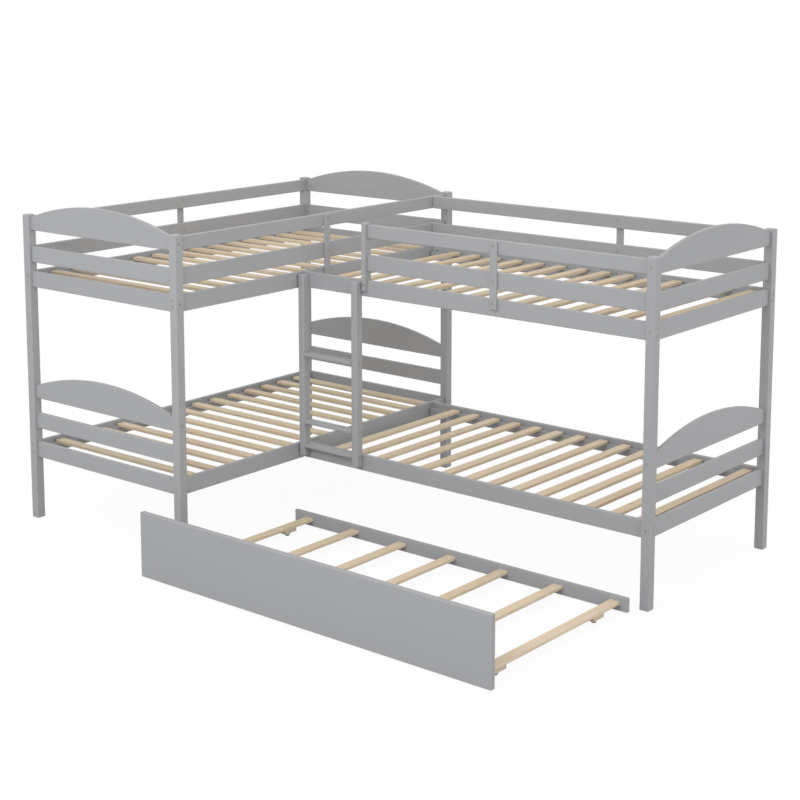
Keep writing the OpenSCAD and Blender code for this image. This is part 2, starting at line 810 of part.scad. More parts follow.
module ladder_bolts() {
  color(brass) place()
    for (b = concat(ladder_rail_bolts, tread_bolts)) at_joint(b) bolt(b[5] + bolt_bite - head_sink);
}

module barrel_nuts() {
  color(zinc) place()
    for (b = all_bolts) at_joint(b, b[4]) barrel_nut(b);
}

module guard_connector_bolts() {
  color(brass) place()
    for (j = all_connectors) at_joint(j) connector_bolt(j[4]);
}

module board_dowels() {
  color(pale_pine) place()
    for (d = all_dowels) at_joint(d) rod(dowel_d, -dowel_l / 2, dowel_l);
}

module slat_screws() {
  color(zinc) place()
    for (z = slat_levels, run = [outer_run, inner_run, front_run, back_run])
      at_slat_screws(run, z) screw(slat_screw_l);
}

module ledger_screws() {
  color(zinc) place()
    for (z = slat_levels, run = [outer_run, inner_run, front_run, back_run])
      at_ledger_screws(run, z) screw(ledger_screw_l);
}

// Puts children at each dowel of the trundle's slats, where a slat meets a board
module at_deck_dowels(ys) {
  for (x = deck_xs, dx = [-deck_dowel_spread, deck_dowel_spread], y = ys)
    at_joint([x + dx, y, deck_z + slat_t / 2, 90]) children();
}

module deck_dowel_holes(ys) {
  at_deck_dowels(ys) rod(deck_dowel_d + 2 * snug, -deck_dowel_l / 2 - over, deck_dowel_l + 2 * over);
}

module trundle_front_panel() {
  color(paint) place()
    difference() {
      translate([panel_x, panel_front_y, panel_low]) cube([panel_l, panel_t, panel_h]);
      deck_dowel_holes([panel_back_y]);
    }
}

module trundle_rear_rail() {
  color(paint) place()
    difference() {
      translate([rear_x, rear_y, panel_low]) cube([rear_l, rear_t, rear_h]);
      deck_dowel_holes([rear_y]);
    }
}

// Puts children at each caster, below the slat's underside
module at_casters() {
  for (x = caster_xs, y = caster_ys) translate([x, y, deck_z]) children();
}

module caster_screw_spots(spread) {
  for (dy = [-spread, spread]) translate([0, dy, 0]) children();
}

module trundle_slats() {
  color(pale_pine) place()
    difference() {
      for (x = deck_xs)
        translate([x - slat_w / 2, panel_back_y, deck_z]) cube([slat_w, deck_d, slat_t]);
      deck_dowel_holes([panel_back_y, rear_y]);
      at_casters() {
        caster_screw_spots(block_screw_y) caster_pilot();
        caster_screw_spots(bracket_screw_y) caster_pilot();
      }
    }
}

// The hole that a caster screw makes in a slat
module caster_pilot() {
  translate([0, 0, -over]) cylinder(d = screw_d + 2 * snug, h = caster_bite + 2 * over);
}

module trundle_dowels() {
  color(pale_pine) place()
    at_deck_dowels([panel_back_y, rear_y]) rod(deck_dowel_d, -deck_dowel_l / 2, deck_dowel_l);
}

module caster_blocks() {
  color(pale_pine) place() at_casters()
    difference() {
      box([-slat_w / 2, -caster_l / 2, -caster_t], [slat_w / 2, caster_l / 2, 0]);
      box([-slot_w / 2, -slot_l / 2, -caster_t - over], [slot_w / 2, slot_l / 2, over]);
      caster_screw_spots(block_screw_y)
        translate([0, 0, -caster_t]) rotate([180, 0, 0]) screw_hole(caster_t + over);
    }
}

// A sheet-steel bracket: a web under the slat and a cheek on each side of the wheel
module caster_brackets() {
  color(zinc) place() at_casters()
    difference() {
      union() {
        box([-bracket_w / 2, -bracket_l / 2, -sheet_t], [bracket_w / 2, bracket_l / 2, 0]);
        for (side = [-1, 1])
          translate([side * (bracket_w - sheet_t) / 2 - sheet_t / 2, -cheek_l / 2, cheek_low - deck_z])
            cube([sheet_t, cheek_l, deck_z - cheek_low]);
      }
      translate([0, 0, wheel_d / 2 - deck_z])
        rod(axle_d + 2 * running_clear, -bracket_w, 2 * bracket_w);
      caster_screw_spots(bracket_screw_y)
        translate([0, 0, -sheet_t - over]) cylinder(d = screw_d + 2 * snug, h = sheet_t + 2 * over);
    }
}

// Axle pins with a head at each end
module caster_axles() {
  color(zinc) place() at_casters()
    translate([0, 0, wheel_d / 2 - deck_z]) {
      rod(axle_d, -bracket_w / 2 - pin_head_t, bracket_w + 2 * pin_head_t);
      rod(pin_head_d, -bracket_w / 2 - pin_head_t, pin_head_t);
      rod(pin_head_d, bracket_w / 2, pin_head_t);
    }
}

// Screws that hold the blocks and, with a pan head, the brackets to the slats
module caster_screws() {
  color(zinc) place() at_casters() {
    caster_screw_spots(block_screw_y)
      translate([0, 0, -caster_t]) rotate([180, 0, 0]) screw(caster_t + caster_bite);
    caster_screw_spots(bracket_screw_y) {
      translate([0, 0, -sheet_t]) cylinder(d = screw_d, h = sheet_t + caster_bite);
      translate([0, 0, -sheet_t - pan_head_t]) cylinder(d = countersink_d, h = pan_head_t);
    }
  }
}

// A wheel on its axle, with rounded edges
module wheel(spot) {
  bore_r = axle_d / 2 + running_clear;
  r = wheel_d / 2;
  color(black) place()
    translate(spot) rotate([0, 90, 0])
      rotate_extrude()
        difference() {
          translate([0, -wheel_w / 2]) round_rect(r, wheel_w, wheel_r);
          translate([-over, -wheel_w]) square([bore_r + over, 2 * wheel_w]);
        }
}

post(0, 0);  // front_left_post
post(inner_post_x, 0);  // front_inner_post
post(0, back_post_y);  // back_left_post
post(inner_post_x, back_post_y);  // back_corner_post
post(right_post_x, right_front_y);  // right_front_post
post(right_post_x, right_back_y - post_s);  // right_back_post
arched_boards(front_end, front_end_bolts);  // front_arched_boards
arched_boards(back_end, back_end_bolts);  // back_arched_boards
arched_boards(right_end, right_end_bolts);  // right_arched_boards
mid_boards(front_end, front_end_dowels);  // front_mid_boards
mid_boards(back_end, back_end_dowels);  // back_mid_boards
mid_boards(right_end, right_end_dowels);  // right_mid_boards
end_rails(front_end, front_end_bolts);  // front_end_rails
end_rails(back_end, back_end_bolts);  // back_end_rails
end_rails(right_end, right_end_bolts);  // right_end_rails
side_rail(outer_run, lower_rail_z, outer_bolts, [], []);  // left_outer_lower_rail
side_rail(outer_run, upper_rail_z, outer_bolts, [], outer_connectors);  // left_outer_upper_rail
side_rail(inner_run, lower_rail_z, inner_bolts, hidden_heads, []);  // left_inner_lower_rail
side_rail(inner_run, upper_rail_z, inner_bolts, hidden_heads, inner_connectors);  // left_inner_upper_rail
side_rail(front_run, lower_rail_z, front_bolts, ladder_rail_bolts, []);  // right_front_lower_rail
side_rail(front_run, upper_rail_z, front_bolts, ladder_rail_bolts,  // right_front_upper_rail
            concat(front_connectors, end_connectors));
side_rail(back_run, lower_rail_z, back_bolts, [], []);  // right_back_lower_rail
side_rail(back_run, upper_rail_z, back_bolts, [], back_connectors);  // right_back_upper_rail
guard_rails(outer_run, outer_dowels, outer_connectors);  // left_outer_guard_rails
guard_rails(inner_run, concat(inner_dowels, back_dowels), inner_connectors);  // left_inner_guard_rails
guard_rails(front_guard_run, front_dowels, front_connectors);  // right_front_guard_rails
guard_rails(back_run, back_dowels, back_connectors);  // right_back_guard_rails
stile(outer_stile, outer_connectors);  // left_outer_stile
stile(inner_stile, inner_connectors);  // left_inner_stile
stile(front_stile, front_connectors);  // right_front_stile
stile(back_stile, back_connectors);  // right_back_stile
end_stile_piece();  // ladder_side_end_stile
upright(upright_xs[0]);  // ladder_left_upright
upright(upright_xs[1]);  // ladder_right_upright
ladder_treads();
slats_along_x(left_slat_ys, slat_lower_z);  // left_lower_slats
slats_along_x(left_slat_ys, slat_upper_z);  // left_upper_slats
slats_along_y(right_slat_xs, slat_lower_z);  // right_lower_slats
slats_along_y(right_slat_xs, slat_upper_z);  // right_upper_slats
ledgers(outer_run, [], inner_run, hidden_heads);  // left_bunk_ledgers
ledgers(front_run, ladder_rail_bolts, back_run, []);  // right_bunk_ledgers
frame_bolts();
ladder_bolts();
barrel_nuts();
guard_connector_bolts();
board_dowels();
slat_screws();
ledger_screws();
trundle_front_panel();
trundle_rear_rail();
trundle_slats();
trundle_dowels();
caster_blocks();
caster_brackets();
caster_axles();
caster_screws();
wheel(wheel_places[0]);  // front_left_wheel
wheel(wheel_places[1]);  // front_right_wheel
wheel(wheel_places[2]);  // rear_left_wheel
wheel(wheel_places[3]);  // rear_right_wheel
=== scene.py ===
"""Looks of an L-shaped double bunk bed with a roll-out trundle bed.

Satin grey painted timber, bare pine slats, brassed bolts, zinc-plated fittings and black
wheels, on a white floor. Lengths are in metres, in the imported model's frame: X runs along
the right-hand bunk, Y from the front to the back, and Z is up.
"""
import json
import math

import bmesh
import bpy
import numpy as np
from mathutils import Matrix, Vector

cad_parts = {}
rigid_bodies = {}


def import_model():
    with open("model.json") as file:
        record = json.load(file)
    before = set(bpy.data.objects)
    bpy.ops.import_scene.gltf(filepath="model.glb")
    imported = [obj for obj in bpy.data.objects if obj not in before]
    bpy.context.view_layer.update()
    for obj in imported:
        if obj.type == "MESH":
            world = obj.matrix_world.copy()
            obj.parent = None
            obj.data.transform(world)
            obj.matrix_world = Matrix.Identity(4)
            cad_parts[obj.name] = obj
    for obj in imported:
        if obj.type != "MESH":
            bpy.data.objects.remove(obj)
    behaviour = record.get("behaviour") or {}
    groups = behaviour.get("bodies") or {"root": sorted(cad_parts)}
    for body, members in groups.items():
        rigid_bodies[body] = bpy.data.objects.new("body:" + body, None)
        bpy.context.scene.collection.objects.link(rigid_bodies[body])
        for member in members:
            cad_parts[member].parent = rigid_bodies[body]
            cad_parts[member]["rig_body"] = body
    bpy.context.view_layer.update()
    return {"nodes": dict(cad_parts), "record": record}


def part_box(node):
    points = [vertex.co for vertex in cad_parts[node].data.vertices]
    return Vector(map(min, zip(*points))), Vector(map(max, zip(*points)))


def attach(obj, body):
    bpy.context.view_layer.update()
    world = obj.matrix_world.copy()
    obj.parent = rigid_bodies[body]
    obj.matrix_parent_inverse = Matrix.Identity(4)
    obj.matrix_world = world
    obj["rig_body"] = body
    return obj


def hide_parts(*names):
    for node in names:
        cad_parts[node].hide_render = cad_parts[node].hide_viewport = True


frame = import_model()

MM = 0.001


# ---------------------------------------------------------------- node graphs

class Wire:
    """An output socket of a node. Sums and products of wires add Math nodes."""

    def __init__(self, graph, socket):
        self.graph = graph
        self.socket = socket

    def __add__(self, other):
        return self.graph.maths("ADD", self, other)

    def __radd__(self, other):
        return self.graph.maths("ADD", other, self)

    def __sub__(self, other):
        return self.graph.maths("SUBTRACT", self, other)

    def __rsub__(self, other):
        return self.graph.maths("SUBTRACT", other, self)

    def __mul__(self, other):
        return self.graph.maths("MULTIPLY", self, other)

    def __rmul__(self, other):
        return self.graph.maths("MULTIPLY", other, self)

    def __truediv__(self, other):
        return self.graph.maths("DIVIDE", self, other)

    def limited(self):
        """The same value, kept between 0 and 1."""
        return self.graph.add("ShaderNodeClamp", {"Value": self})


class Graph:
    """A node tree that is being built."""

    def __init__(self, tree):
        self.tree = tree

    def add(self, kind, values=None, output=0, **settings):
        """Adds a node: its settings first, then the values or wires of its inputs."""
        node = self.tree.nodes.new(kind)
        for setting, choice in settings.items():
            setattr(node, setting, choice)
        for place, value in (values or {}).items():
            self.feed(node.inputs[place], value)
        return None if output is None else Wire(self, node.outputs[output])

    def feed(self, socket, value):
        """Gives a socket a value, a wire or a list of wires."""
        for wire in value if isinstance(value, list) else [value]:
            if isinstance(wire, Wire):
                self.tree.links.new(wire.socket, socket)
            else:
                socket.default_value = wire

    def maths(self, operation, *values):
        return self.add("ShaderNodeMath", dict(enumerate(values)), operation=operation)

    def vector(self, operation, *values):
        return self.add("ShaderNodeVectorMath", dict(enumerate(values)), operation=operation)

    def split(self, vector):
        """The three numbers of a vector."""
        parts = self.tree.nodes.new("ShaderNodeSeparateXYZ")
        self.feed(parts.inputs[0], vector)
        return [Wire(self, socket) for socket in parts.outputs]

    def joined(self, x, y, z):
        return self.add("ShaderNodeCombineXYZ", {"X": x, "Y": y, "Z": z})

    def mix(self, share, first, second):
        """A colour between two others."""
        return self.add("ShaderNodeMix", {0: share, 6: first, 7: second}, output=2,
                        data_type="RGBA")

    def ramp(self, value, low, high):
        """Value's rise from 0 at low to 1 at high, smoothed."""
        values = {"Value": value, 1: low, 2: high}
        return self.add("ShaderNodeMapRange", values, interpolation_type="SMOOTHSTEP")


class Finish(Graph):
    """A material with one Principled shader. Constants go straight onto its sockets."""

    def __init__(self, name, **constants):
        self.material = bpy.data.materials.new(name)
        self.material.use_nodes = True
        super().__init__(self.material.node_tree)
        self.shader = self.tree.nodes["Principled BSDF"]
        for socket, value in constants.items():
            self.shader.inputs[socket.replace("_", " ")].default_value = value

    def surface(self, colour, roughness, normal=None):
        self.feed(self.shader.inputs["Base Color"], colour)
        self.feed(self.shader.inputs["Roughness"], roughness)
        if normal:
            self.feed(self.shader.inputs["Normal"], normal)
        return self.material

    def attribute(self, name, output="Vector"):
        return self.add("ShaderNodeAttribute", output=output, attribute_name=name)

    def noise(self, where, scale, detail=3.0, roughness=0.5, distortion=0.0):
        values = {"Vector": where, "Scale": scale, "Detail": detail,
                  "Roughness": roughness, "Distortion": distortion}
        return self.add("ShaderNodeTexNoise", values, output="Fac")

    def bump(self, height, distance, below=None):
        """Relief of a height from 0 to 1 over a real distance, on top of another."""
        values = {"Strength": 1.0, "Distance": distance, "Height": height}
        if below:
            values["Normal"] = below
        return self.add("ShaderNodeBump", values)


def tone(red, green, blue):
    """A colour given in screen values from 0 to 255, as the linear colour of a socket."""
    linear = [((c / 255 + 0.055) / 1.055) ** 2.4 for c in (red, green, blue)]
    return (*linear, 1.0)


# ---------------------------------------------------------------- materials

def grain_point(finish, along, across):
    """The place in a board's own grain, in cells per metre along and across the fibres."""
    return finish.vector("MULTIPLY", finish.attribute("grain"), (along, across, across))


def satin_paint():
    """Grey furniture paint over pine: smooth, with the grain just telling under it."""
    finish = Finish("satin_grey_paint", Specular_IOR_Level=0.45)
    fibres = finish.noise(grain_point(finish, along=5, across=130), 1.0, detail=4.0,
                          roughness=0.6)
    figure = finish.noise(grain_point(finish, along=1.6, across=22), 1.0, distortion=1.2)
    cloud = finish.noise(finish.attribute("grain"), 2.4, detail=2.0)
    board = finish.attribute("board", "Fac")
    lightness = (fibres * 0.30 + figure * 0.22 + cloud * 0.30 + board * 0.18).limited()
    colour = finish.mix(lightness, tone(161, 162, 164), tone(172, 173, 175))
    roughness = 0.36 + 0.14 * cloud + 0.06 * fibres
    spray = finish.noise(finish.attribute("grain"), 420.0, detail=1.0)
    skin = finish.bump(spray, distance=0.04 * MM)
    relief = finish.bump(fibres * 0.6 + figure * 0.4, distance=0.22 * MM, below=skin)
    return finish.surface(colour, roughness, relief)


def bare_pine(name, pale, deep, knots):
    """Planed softwood: growth rings along the board, pores, and a tone of its own per board."""
    finish = Finish(name, Specular_IOR_Level=0.35)
    drift = finish.noise(grain_point(finish, along=1.3, across=7), 1.0, detail=2.0)
    along, across, through = finish.split(finish.attribute("grain"))
    heart = across + through * 0.45 + drift * 0.07 + along * 0.004
    rings = finish.add("ShaderNodeTexWave", {"Vector": finish.joined(heart, 0.0, 0.0),
                                             "Scale": 26.0, "Distortion": 0.0},
                       output="Fac", bands_direction="X", wave_profile="SAW")
    fibres = finish.noise(grain_point(finish, along=9, across=330), 1.0, roughness=0.65)
    blotch = finish.noise(grain_point(finish, along=1.2, across=9), 1.0, detail=2.0)
    board = finish.attribute("board", "Fac")
    late_wood = finish.ramp(rings, low=0.35, high=1.0)
    share = (late_wood * 0.40 + fibres * 0.34 + blotch * 0.30 + board * 0.30 - 0.24).limited()
    colour = finish.mix(share, pale, deep)
    spots = finish.add("ShaderNodeTexVoronoi",
                       {"Vector": grain_point(finish, along=3.1, across=9.5), "Scale": 1.0})
    knot = (1 - finish.ramp(spots, low=0.045, high=0.085)) * knots
    colour = finish.mix(knot, colour, tone(126, 88, 54))
    roughness = 0.50 + 0.12 * fibres - 0.06 * late_wood
    relief = finish.bump(fibres * 0.7 + late_wood * 0.3, distance=0.15 * MM)
    return finish.surface(colour, roughness, relief)


def plated(name, bright, dull, roughness, polish_scale):
    """Plated steel with the faint clouding and scratches of handled fittings."""
    finish = Finish(name, Metallic=1.0)
    where = finish.add("ShaderNodeTexCoord", output="Object")
    cloud = finish.noise(where, polish_scale)
    scratch_point = finish.vector("MULTIPLY", where, (1.0, 1.0, 9.0))
    scratch = finish.noise(scratch_point, polish_scale * 9, detail=2.0)
    colour = finish.mix((cloud * 0.7 + scratch * 0.3).limited(), dull, bright)
    relief = finish.bump(scratch, distance=0.02 * MM)
    return finish.surface(colour, roughness + 0.18 * cloud, relief)


def moulded_plastic():
    """Black wheel plastic with a fine moulded skin, a little dusty."""
    finish = Finish("black_moulded_plastic", Specular_IOR_Level=0.4)
    where = finish.add("ShaderNodeTexCoord", output="Object")
    skin = finish.noise(where, 1500.0, detail=2.0)
    dust = finish.noise(where, 90.0)
    colour = finish.mix(finish.ramp(dust, low=0.45, high=0.75), tone(26, 26, 28),
                        tone(58, 57, 56))
    return finish.surface(colour, 0.42 + 0.2 * dust, finish.bump(skin, distance=0.05 * MM))


PAINT = satin_paint()
BUNK_PINE = bare_pine("bunk_slat_pine", pale=tone(231, 213, 185), deep=tone(203, 178, 145),
                      knots=0.4)
TRUNDLE_PINE = bare_pine("trundle_slat_pine", pale=tone(236, 219, 193),
                         deep=tone(210, 188, 155), knots=0.3)
DOWEL_WOOD = bare_pine("beech_dowel", pale=tone(214, 182, 146), deep=tone(184, 146, 108),
                       knots=0.0)
BRASS = plated("brassed_steel", bright=tone(188, 184, 178), dull=tone(153, 147, 134),
               roughness=0.42, polish_scale=160.0)
ZINC = plated("zinc_plated_steel", bright=tone(206, 208, 210), dull=tone(150, 152, 156),
              roughness=0.34, polish_scale=120.0)
PLASTIC = moulded_plastic()

# What each node is made of, by the record's material slots
MATERIALS = {
    "grey_paint": PAINT,
    "bunk_pine": BUNK_PINE,
    "trundle_pine": TRUNDLE_PINE,
    "dowel_wood": DOWEL_WOOD,
    "brass_bolts": BRASS,
    "zinc_steel": ZINC,
    "black_plastic": PLASTIC,
}
SLOTS = {part["node"]: part["material_slot"] for part in frame["record"]["subparts"]}


# ---------------------------------------------------------------- meshes

def body_of(node):
    return frame["nodes"][node]["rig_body"]


def positions(mesh):
    spots = np.empty(len(mesh.vertices) * 3)
    mesh.vertices.foreach_get("co", spots)
    return spots.reshape(-1, 3)


def solids_of(mesh):
    """For each vertex, the number of the separate solid that it belongs to."""
    ends = np.empty(len(mesh.edges) * 2, int)
    mesh.edges.foreach_get("vertices", ends)
    first, second = ends.reshape(-1, 2).T
    label = np.arange(len(mesh.vertices))
    settled = False
    while not settled:
        lower = np.minimum(label[first], label[second])
        found = label.copy()
        np.minimum.at(found, first, lower)
        np.minimum.at(found, second, lower)
        found = found[found]
        settled = (found == label).all()
        label = found
    return np.unique(label, return_inverse=True)[1]


# How far apart the boards are set in the grain, so that no two show the same wood
GRAIN_SPREAD = 20


def lay_grain(mesh, seed):
    """Stores each point's place in its own board, longest side first, and a tone per board."""
    spots = positions(mesh)
    label = solids_of(mesh)
    chance = np.random.default_rng(seed)
    grain = np.zeros_like(spots)
    board = np.zeros(len(spots))
    for number in range(label.max() + 1):
        inside = label == number
        own = spots[inside]
        order = np.argsort(own.min(0) - own.max(0), kind="stable")
        shift = chance.uniform(-GRAIN_SPREAD, GRAIN_SPREAD, 3)
        grain[inside] = (own - own.mean(0))[:, order] + shift
        board[inside] = chance.uniform(0, 1)
    stored = mesh.attributes.new("grain", "FLOAT_VECTOR", "POINT")
    stored.data.foreach_set("vector", grain.ravel())
    stored = mesh.attributes.new("board", "FLOAT", "POINT")
    stored.data.foreach_set("value", board)


MERGE = 0.01 * MM
FLAT = math.radians(0.2)
SHARP = math.radians(32)
# Sharp edges that hang together within this size are the rims of holes
RIM_SIZE = 22 * MM
# The most that rounding takes of a face's breadth at each side
ROUNDED_SHARE = 0.45


def joined_node(node):
    """A copy of a node's form with its loose triangles joined and no stored normals."""
    copy = frame["nodes"][node].data.copy()
    if "custom_normal" in copy.attributes:
        copy.attributes.remove(copy.attributes["custom_normal"])
    form = bmesh.new()
    form.from_mesh(copy)
    bpy.data.meshes.remove(copy)
    bmesh.ops.remove_doubles(form, verts=form.verts, dist=MERGE)
    return form


def merged_node(node):
    """A node's form with each of its flat faces in one piece."""
    form = joined_node(node)
    bmesh.ops.dissolve_limit(form, angle_limit=FLAT, verts=form.verts, edges=form.edges)
    return form


def is_sharp(edge):
    return len(edge.link_faces) == 2 and edge.calc_face_angle(0) > SHARP


def sharp_groups(form):
    """The sharp edges, in groups that hang together."""
    waiting = {edge for edge in form.edges if is_sharp(edge)}
    while waiting:
        group = {waiting.pop()}
        front = list(group)
        while front:
            for vertex in front.pop().verts:
                near = [edge for edge in vertex.link_edges if edge in waiting]
                waiting.difference_update(near)
                group.update(near)
                front.extend(near)
        yield group


def is_rim(group):
    spots = np.array([vertex.co for edge in group for vertex in edge.verts])
    return np.ptp(spots, axis=0).max() < RIM_SIZE


def evaluated(holder, name):
    """The plain mesh that an object's modifiers make of it. The object is taken away."""
    seen = holder.evaluated_get(bpy.context.evaluated_depsgraph_get())
    mesh = bpy.data.meshes.new_from_object(seen)
    mesh.name = name
    bpy.data.objects.remove(holder)
    return mesh


def placed(name, mesh):
    thing = bpy.data.objects.new(name, mesh)
    bpy.context.scene.collection.objects.link(thing)
    return thing


def room_beside(edge):
    """How far an edge can be rounded beside the narrower of its two faces."""
    breadths = [face.calc_area() / edge.calc_length() for face in edge.link_faces]
    return ROUNDED_SHARE * min(breadths)


def eased_mesh(name, form, radius, steps):
    """Rounds the outer sharp edges of a form. The rims of holes stay crisp."""
    weight = form.edges.layers.float.new("bevel_weight_edge")
    for group in sharp_groups(form):
        outer = not is_rim(group)
        for edge in group:
            edge[weight] = outer * min(1.0, room_beside(edge) / radius)
            edge.smooth = outer
    for face in form.faces:
        face.smooth = True
    mesh = bpy.data.meshes.new(name)
    form.to_mesh(mesh)
    form.free()
    spots = positions(mesh)
    holder = placed(name, mesh)
    ease = holder.modifiers.new("ease", "BEVEL")
    ease.limit_method = "WEIGHT"
    ease.width = radius
    ease.segments = steps
    ease.harden_normals = True
    ease.use_clamp_overlap = True
    eased = evaluated(holder, name)
    # Rounding pushes a few corner points out by a hair, so they go back into the form's box
    inside = np.clip(positions(eased), spots.min(0), spots.max(0))
    eased.vertices.foreach_set("co", inside.ravel())
    return eased


def finish_piece(name, mesh, nodes, seed):
    """Makes a mesh a piece of the bed that stands for some nodes, in their material."""
    slot = SLOTS[nodes[0]]
    mesh.materials.clear()
    mesh.materials.append(MATERIALS[slot])
    lay_grain(mesh, seed)
    piece = placed(name, mesh)
    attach(piece, body_of(nodes[0]))
    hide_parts(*nodes)
    return piece


def solids_in(node):
    """The points of each separate solid in a node."""
    form = joined_node(node)
    mesh = bpy.data.meshes.new("measured")
    form.to_mesh(mesh)
    form.free()
    spots, label = positions(mesh), solids_of(mesh)
    bpy.data.meshes.remove(mesh)
    return [spots[label == number] for number in range(label.max() + 1)]


def eased_piece(node, radius, seed, steps=3):
    """A node's piece with its edges rounded, as sanding and paint leave them."""
    mesh = eased_mesh(node + "_eased", merged_node(node), radius, steps)
    return finish_piece(node + "_eased", mesh, [node], seed)


# ---------------------------------------------------------------- repeats, as Geometry Nodes

class Pattern(Graph):
    """A Geometry Nodes tree with named inputs."""

    KINDS = {int: "NodeSocketInt", float: "NodeSocketFloat", tuple: "NodeSocketVector"}

    def __init__(self, name, **inputs):
        super().__init__(bpy.data.node_groups.new(name, "GeometryNodeTree"))
        self.named = {}
        for way in ("INPUT", "OUTPUT"):
            self.tree.interface.new_socket("Geometry", in_out=way,
                                           socket_type="NodeSocketGeometry")
        for title, kind in inputs.items():
            self.named[title] = self.tree.interface.new_socket(
                title.replace("_", " "), in_out="INPUT", socket_type=self.KINDS[kind])
        self.entry = self.tree.nodes.new("NodeGroupInput")
        self.exit = self.tree.nodes.new("NodeGroupOutput")

    def __getitem__(self, title):
        return Wire(self, self.entry.outputs[title.replace("_", " ")])

    def close(self, geometry, material):
        """Ends the tree: instances made real, with their material."""
        real = self.add("GeometryNodeRealizeInstances", {"Geometry": geometry})
        painted = self.add("GeometryNodeSetMaterial", {"Geometry": real, "Material": material})
        self.feed(self.exit.inputs["Geometry"], painted)

    def grown(self, base, **values):
        """The plain mesh that the tree makes from a base mesh with these inputs."""
        holder = placed(self.tree.name, base)
        modifier = holder.modifiers.new(self.tree.name, "NODES")
        modifier.node_group = self.tree
        for title, value in values.items():
            modifier[self.named[title].identifier] = value
        return evaluated(holder, self.tree.name)


SLAT_CORNER = 8 * MM
SLAT_CORNER_STEPS = 5
SLAT_EASING = 1.2 * MM
SLAT_EASING_STEPS = 2
# Holes of a bunk slat's screws, and their distance from its ends
SLAT_SCREW_HOLE = 8.2 * MM
SLAT_SCREW_INSET = 7.0 * MM
HOLE_SIDES = 16


def planed_slat(p):
    """A round-cornered slat along X, middle over the origin, with a screw hole at each end."""
    outline = p.add("GeometryNodeCurvePrimitiveQuadrilateral",
                    {"Width": p["Length"], "Height": p["Width"]}, mode="RECTANGLE")
    rounded = p.add("GeometryNodeFilletCurve",
                    {"Curve": outline, "Count": SLAT_CORNER_STEPS, "Radius": p["Corner"],
                     "Limit Radius": True}, mode="POLY")
    hole = p.add("GeometryNodeCurvePrimitiveCircle",
                 {"Resolution": HOLE_SIDES, "Radius": p["Screw_hole"] / 2})
    reach = p["Length"] / 2 - p["Screw_inset"]
    ends = [p.add("GeometryNodeTransform",
                  {"Geometry": hole, "Translation": p.joined(side * reach, 0.0, 0.0)})
            for side in (-1, 1)]
    outlines = p.add("GeometryNodeJoinGeometry", {"Geometry": [rounded, *ends]})
    face = p.add("GeometryNodeFillCurve", {"Curve": outlines}, mode="NGONS")
    walls = p.add("GeometryNodeExtrudeMesh",
                  {"Mesh": face, "Offset": p.joined(0.0, 0.0, p["Thickness"]), "Offset Scale": 1.0,
                   "Individual": False}, mode="FACES")
    under = p.add("GeometryNodeFlipFaces", {"Mesh": face})
    shell = p.add("GeometryNodeJoinGeometry", {"Geometry": [walls, under]})
    return p.add("GeometryNodeMergeByDistance", {"Geometry": shell, "Distance": MERGE})


def slat_pattern(name, material):
    """A row of slats, one step apart, all turned by the same angle."""
    p = Pattern(name, Length=float, Width=float, Thickness=float, Corner=float, Count=int,
                Step=tuple, First=tuple, Turn=float, Screw_inset=float, Screw_hole=float)
    slat = planed_slat(p)
    row = p.add("GeometryNodeMeshLine",
                {"Count": p["Count"], "Start Location": p["First"], "Offset": p["Step"]},
                mode="OFFSET")
    turned = p.add("FunctionNodeEulerToRotation", {"Euler": p.joined(0.0, 0.0, p["Turn"])})
    laid = p.add("GeometryNodeInstanceOnPoints",
                 {"Points": row, "Instance": slat, "Rotation": turned})
    p.close(laid, material)
    return p


def slat_row(pattern, node, seed):
    """The slats of a node, measured from its solids and laid again with planed edges."""
    boxes = [[solid.min(0), solid.max(0)] for solid in solids_in(node)]
    slats = sorted(boxes, key=lambda ends: tuple(ends[0]))
    low, high = slats[0]
    size = high - low
    long_way = int(np.argmax(size))
    middle = (low + high) / 2
    mesh = pattern.grown(
        bpy.data.meshes.new("start"), Length=float(size[long_way]),
        Width=float(size[1 - long_way]), Thickness=float(size[2]), Corner=SLAT_CORNER,
        Count=len(slats), Step=tuple((slats[-1][0] - low) / (len(slats) - 1)),
        First=(middle[0], middle[1], low[2]), Turn=long_way * math.pi / 2,
        Screw_inset=SLAT_SCREW_INSET, Screw_hole=SLAT_SCREW_HOLE)
    form = bmesh.new()
    form.from_mesh(mesh)
    eased = eased_mesh(node, form, SLAT_EASING, SLAT_EASING_STEPS)
    return finish_piece(node + "_planed", eased, [node], seed)


def drawn_up(p, form, top, rise, growth):
    """Extrudes the top faces of a form and scales them. Gives the form and its new top."""
    pull = p.tree.nodes.new("GeometryNodeExtrudeMesh")
    pull.mode = "FACES"
    for title, value in {"Mesh": form, "Selection": top, "Offset": p.joined(0.0, 0.0, rise),
                         "Offset Scale": 1.0, "Individual": False}.items():
        p.feed(pull.inputs[title], value)
    form, top = Wire(p, pull.outputs["Mesh"]), Wire(p, pull.outputs["Top"])
    form = p.add("GeometryNodeScaleElements",
                 {"Geometry": form, "Selection": top, "Scale": growth}, domain="FACE")
    return form, top


# A recess goes straight down for this share of its depth, and then narrows to this share
STRAIGHT_RECESS = 0.8
RECESS_FLOOR = 0.7
SHANK_SIDES = 12


